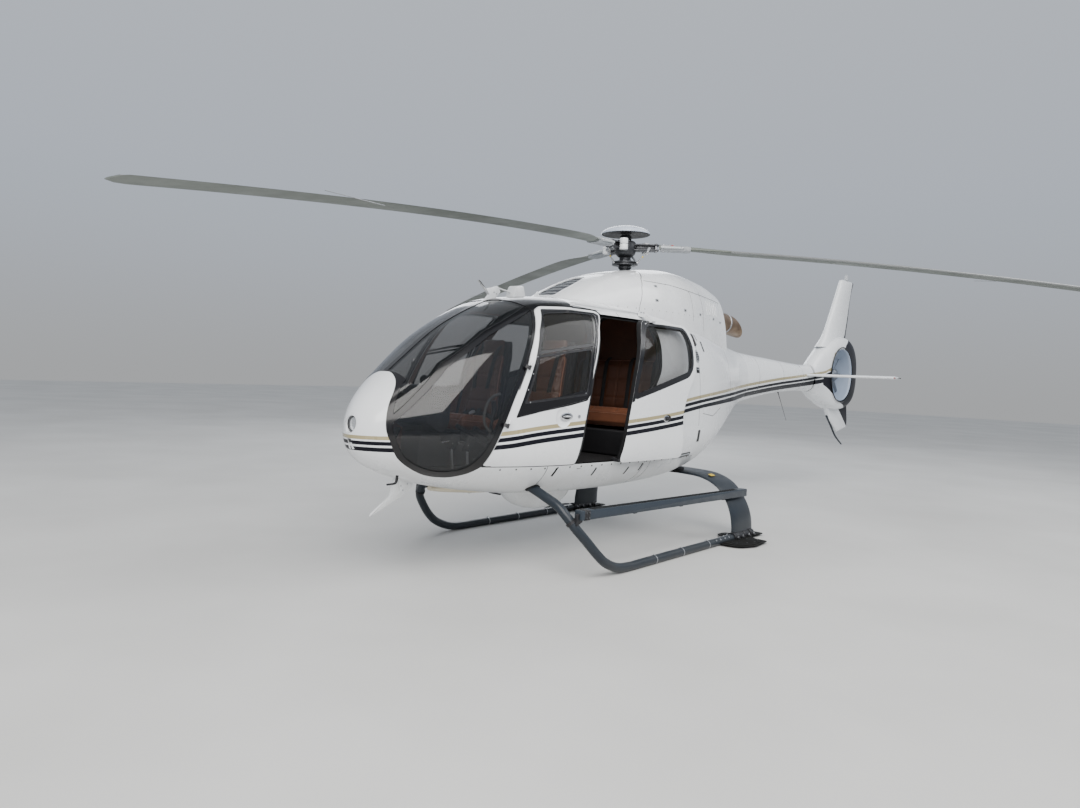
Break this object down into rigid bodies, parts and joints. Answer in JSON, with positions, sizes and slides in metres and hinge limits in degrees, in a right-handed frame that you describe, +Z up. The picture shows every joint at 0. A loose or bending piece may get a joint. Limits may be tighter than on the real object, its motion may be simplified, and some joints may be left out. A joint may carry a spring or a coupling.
{
  "type": "light single-engine helicopter",
  "caption": "Light helicopter on skids with a three-blade main rotor, a shrouded tail fan, swinging front doors and a partly open sliding door.",
  "frame": {"origin": "on the ground under the middle of the whole outline, rotor included", "axes": "+Y towards the tail, +X towards the aircraft's left side, +Z up"},
  "size_m": [8.6379, 11.392, 3.345],
  "materials": {
    "white_paint": "gloss paint on composite panels, with gold and black stripes",
    "white_metal": "gloss paint on light alloy, with gold and black stripes",
    "black_paint": "gloss",
    "tinted_glazing": "clear, lightly tinted",
    "cabin_trim": "satin",
    "seat_leather": "smooth tan leather",
    "skid_paint": "satin blue-grey",
    "rotor_metal": "satin",
    "blade_paint": "satin olive grey",
    "cap_paint": "gloss",
    "exhaust_metal": "heat tinted",
    "machinery": "cast",
    "duct_paint": "satin",
    "fan_metal": "satin",
    "cream_paint": "satin",
    "lamp_glass": "clear ribbed",
    "beacon_glass": "red"
  },
  "bodies": {
    "airframe": {"nose_shell": "white_paint", "belly_shell": "white_paint", "roof_panel": "white_paint", "left_side_wall": "white_paint", "right_side_wall": "white_paint", "right_rear_window": "tinted_glazing", "left_windscreen": "tinted_glazing", "left_lower_windscreen": "tinted_glazing", "right_windscreen": "tinted_glazing", "right_lower_windscreen": "tinted_glazing", "canopy_frame": "black_paint", "sliding_door": "white_paint", "sliding_door_window": "tinted_glazing", "upper_door_rail": "white_paint", "cabin_floor": "cabin_trim", "cabin_bulkhead": "cabin_trim", "baggage_hold": "cabin_trim", "left_door_post": "black_paint", "right_door_post": "black_paint", "left_front_seat": "seat_leather", "right_front_seat": "seat_leather", "rear_bench": "seat_leather", "instrument_console": "cabin_trim", "rear_fuselage": "white_metal", "front_cowl": "white_paint", "rear_cowl": "white_paint", "engine_block": "machinery", "main_gearbox": "machinery", "exhaust_pipe": "exhaust_metal", "tail_boom": "white_metal", "stabiliser": "white_metal", "tail_shroud": "white_paint", "tail_bumper": "skid_paint", "fan_gearbox": "duct_paint", "left_skid": "skid_paint", "right_skid": "skid_paint", "left_step": "skid_paint", "right_step": "skid_paint", "left_snow_pad": "black_paint", "right_snow_pad": "black_paint", "rear_cross_beam": "skid_paint", "roof_wire_cutter": "white_paint", "roof_lamp_box": "white_paint", "chin_wire_cutter": "cream_paint", "belly_pod": "cream_paint", "landing_lamp": "lamp_glass", "beacon": "beacon_glass"},
    "main_rotor": {"rotor_hub": "rotor_metal", "rotor_cap": "cap_paint", "main_blade_a": "blade_paint", "main_blade_b": "blade_paint", "main_blade_c": "blade_paint"},
    "tail_fan": {"fan_rotor": "fan_metal"},
    "left_door": {"left_front_door": "white_paint", "left_front_door_window": "tinted_glazing"},
    "right_door": {"right_front_door": "white_paint", "right_front_door_window": "tinted_glazing"},
    "hold_door": {"baggage_door": "white_paint"}
  },
  "joints": [
    {"name": "main_rotor_spin", "type": "hinge", "parent": "airframe", "child": "main_rotor", "pos_m": [0.367, -0.752, 2.867], "axis": [0, -0.022, 0.9998], "continuous": true},
    {"name": "tail_fan_spin", "type": "hinge", "parent": "airframe", "child": "tail_fan", "pos_m": [0.367, 4.798, 1.747], "axis": [1, 0, 0], "continuous": true},
    {"name": "left_door_swing", "type": "hinge", "parent": "airframe", "child": "left_door", "pos_m": [1.057, -3.037, 1.16], "axis": [0, -0.4312, -0.9023], "range_deg": [0, 75]},
    {"name": "right_door_swing", "type": "hinge", "parent": "airframe", "child": "right_door", "pos_m": [-0.323, -3.037, 1.16], "axis": [0, 0.4312, 0.9023], "range_deg": [0, 75]},
    {"name": "hold_door_swing", "type": "hinge", "parent": "airframe", "child": "hold_door", "pos_m": [-0.345, -0.191, 1.03], "axis": [0, 0, 1], "range_deg": [0, 100]}
  ]
}
